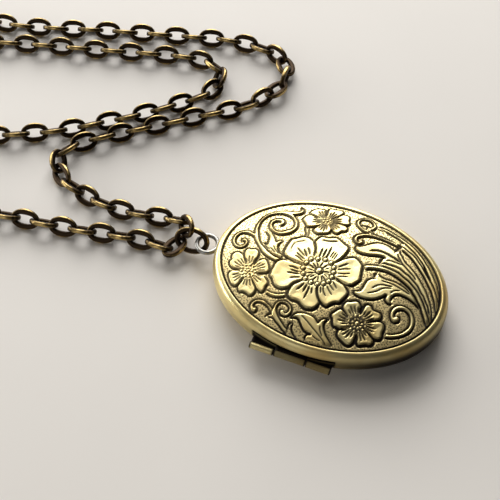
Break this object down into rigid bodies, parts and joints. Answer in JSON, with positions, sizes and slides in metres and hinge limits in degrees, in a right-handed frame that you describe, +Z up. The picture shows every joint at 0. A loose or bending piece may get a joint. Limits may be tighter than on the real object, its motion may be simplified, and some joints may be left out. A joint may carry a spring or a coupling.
{
  "type": "oval locket on a chain",
  "caption": "Hinged oval locket in antique brass with raised flowers and scrolls on the front, on a cable chain that lies in folds.",
  "frame": {"origin": "centre of the flat on the back of the case, on the surface that the locket lies on", "axes": "+X along the oval away from the hanging loop, -Y towards the hinge, +Z up, out of the decorated front"},
  "size_m": [0.1748, 0.0547, 0.0062],
  "materials": {
    "case_brass": "antique gold colour, raised parts polished, dark patina in the grooves",
    "pin_brass": "dull",
    "chain_brass": "dark antique bronze colour with bright worn edges"
  },
  "bodies": {
    "case": {"back_shell": "case_brass", "hinge_pin": "pin_brass", "jump_ring": "chain_brass", "chain_upper": "chain_brass", "chain_lower": "chain_brass", "clasp": "chain_brass", "clasp_ring": "chain_brass"},
    "lid": {"front_shell": "case_brass"}
  },
  "joints": [
    {"name": "lid_hinge", "type": "hinge", "parent": "case", "child": "lid", "pos_m": [-0.001, -0.01311, 0.00248], "axis": [1, 0, 0], "range_deg": [0, 160]}
  ]
}
